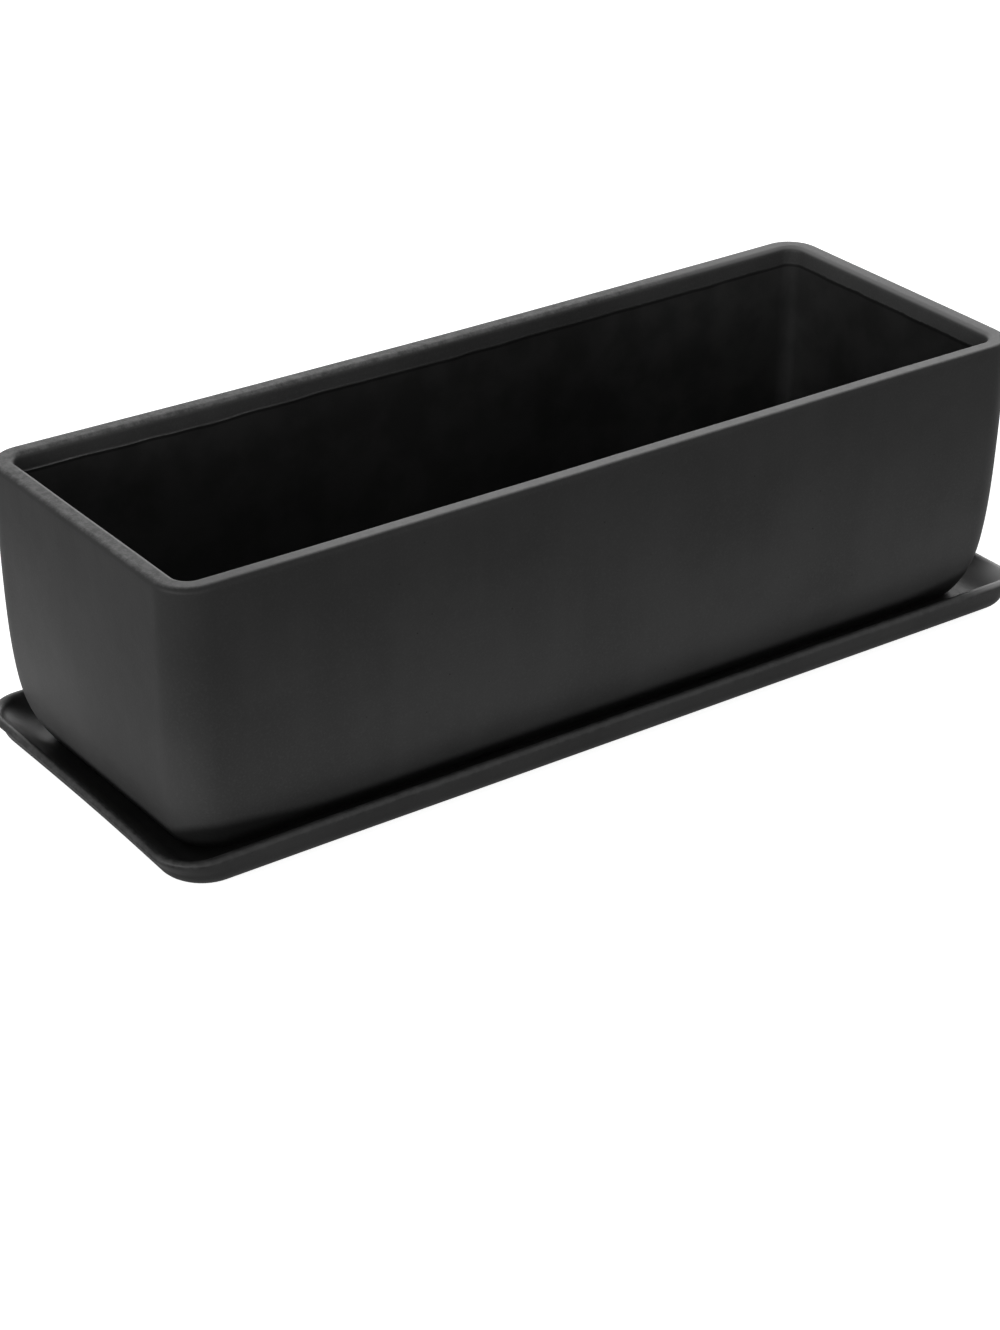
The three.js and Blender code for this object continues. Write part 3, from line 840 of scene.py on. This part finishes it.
def pale_floor():
    """A plain floor that keeps a soft shadow.

    Where it is lit it is white to the camera, and beyond the right back corner of the object also in
    reflections. Its underside lets the view through.
    """
    size = FLOOR_HALF_SIZE
    mesh = bpy.data.meshes.new("floor")
    corners = [(-size, -size), (size, -size), (size, size), (-size, size)]
    mesh.from_pydata([(x, y, FLOOR_LEVEL) for x, y in corners], [], [(0, 1, 2, 3)])
    material = bpy.data.materials.new("floor")
    material.use_nodes = True
    tree = material.node_tree
    tree.nodes.clear()
    rays = tree.nodes.new("ShaderNodeLightPath").outputs
    place = add(tree, "SeparateXYZ", {"Vector": add(tree, "TexCoord", out="Object")}).node.outputs
    nearest = add(tree, "Math", {0: place["X"], 1: place["Y"]}, operation="MINIMUM")
    beyond = add(tree, "MapRange", {
        "Value": nearest, "From Min": REFLECTED_FROM, "From Max": REFLECTED_FULLY_FROM})
    reflected = add(tree, "Math", {0: rays["Is Glossy Ray"], 1: beyond}, operation="MULTIPLY")
    seen = add(tree, "Math", {0: rays["Is Camera Ray"], 1: reflected}, operation="MAXIMUM")
    level = add(tree, "MapRange", {"Value": seen, "To Min": FLOOR_GLOW, "To Max": FLOOR_SEEN_GLOW})
    light = add(tree, "Emission", {"Color": (1, 1, 1, 1), "Strength": level})
    lit = add(tree, "BsdfDiffuse", {"Color": (FLOOR_SHADE, FLOOR_SHADE, FLOOR_SHADE, 1)})
    both = tree.nodes.new("ShaderNodeAddShader")
    tree.links.new(light, both.inputs[0])
    tree.links.new(lit, both.inputs[1])
    below = tree.nodes.new("ShaderNodeMixShader")
    tree.links.new(add(tree, "NewGeometry", out="Backfacing"), below.inputs[0])
    tree.links.new(both.outputs[0], below.inputs[1])
    tree.links.new(add(tree, "BsdfTransparent"), below.inputs[2])
    output = tree.nodes.new("ShaderNodeOutputMaterial")
    tree.links.new(below.outputs[0], output.inputs[0])
    mesh.materials.append(material)
    floor = bpy.data.objects.new("floor", mesh)
    bpy.context.scene.collection.objects.link(floor)


def white_room():
    """White to the camera and in reflections, and a weaker even light on the object."""
    world = bpy.data.worlds.new("room")
    bpy.context.scene.world = world
    world.use_nodes = True
    tree = world.node_tree
    tree.nodes.clear()
    level = add(tree, "MapRange", {"Value": seen_rays(tree), "To Min": ROOM_FILL, "To Max": 1.0})
    light = add(tree, "Background", {"Color": (1, 1, 1, 1), "Strength": level})
    output = tree.nodes.new("ShaderNodeOutputWorld")
    tree.links.new(light, output.inputs[0])


def soft_box(name, place, width, height, radiance):
    """A rectangular lamp of even brightness, facing the object and unseen by the camera."""
    lamp = bpy.data.lights.new(name, "AREA")
    lamp.shape = "RECTANGLE"
    lamp.size, lamp.size_y = width, height
    lamp.energy = radiance * math.pi * width * height
    made = bpy.data.objects.new(name, lamp)
    made.location = place
    made.rotation_euler = (Vector(LAMPS_AIM) - Vector(place)).to_track_quat("-Z", "Y").to_euler()
    made.visible_camera = False
    bpy.context.scene.collection.objects.link(made)


def studio_camera():
    """The camera, looking at its target from its distance, and turned about its own axis by the roll."""
    azimuth, elevation, roll = np.radians([CAMERA_AZIMUTH, CAMERA_ELEVATION, CAMERA_ROLL])
    back = np.array([math.sin(azimuth) * math.cos(elevation), -math.cos(azimuth) * math.cos(elevation),
                     math.sin(elevation)])
    level = np.array([math.cos(azimuth), math.sin(azimuth), 0.0])
    upright = np.cross(back, level)
    right = math.cos(roll) * level + math.sin(roll) * upright
    up = math.cos(roll) * upright - math.sin(roll) * level
    place = (np.array(CAMERA_TARGET) + back * CAMERA_DISTANCE) * MILLIMETRE
    lens = bpy.data.cameras.new("camera")
    lens.sensor_width = SENSOR_SIZE
    lens.lens = FOCAL_LENGTH_IN_PIXELS * SENSOR_SIZE / PICTURE_HEIGHT_IN_PIXELS
    lens.clip_start, lens.clip_end = 0.05, 50.0
    camera = bpy.data.objects.new("camera", lens)
    camera.matrix_world = Matrix([[right[i], up[i], back[i], place[i]] for i in range(3)] + [[0, 0, 0, 1]])
    bpy.context.scene.collection.objects.link(camera)
    bpy.context.scene.camera = camera


pale_floor()
white_room()
soft_box("back_light", place=(0.75, 1.05, 0.8), width=1.4, height=0.7, radiance=2.4)
soft_box("left_light", place=(-3.0, -0.65, 0.7), width=3.9, height=1.2, radiance=4.3)
soft_box("front_light", place=(-0.8, -3.4, 0.6), width=4.2, height=1.0, radiance=2.2)
soft_box("right_light", place=(2.7, 1.3, 0.9), width=1.0, height=0.8, radiance=5.0)
studio_camera()
bpy.context.scene.view_settings.view_transform = "Standard"
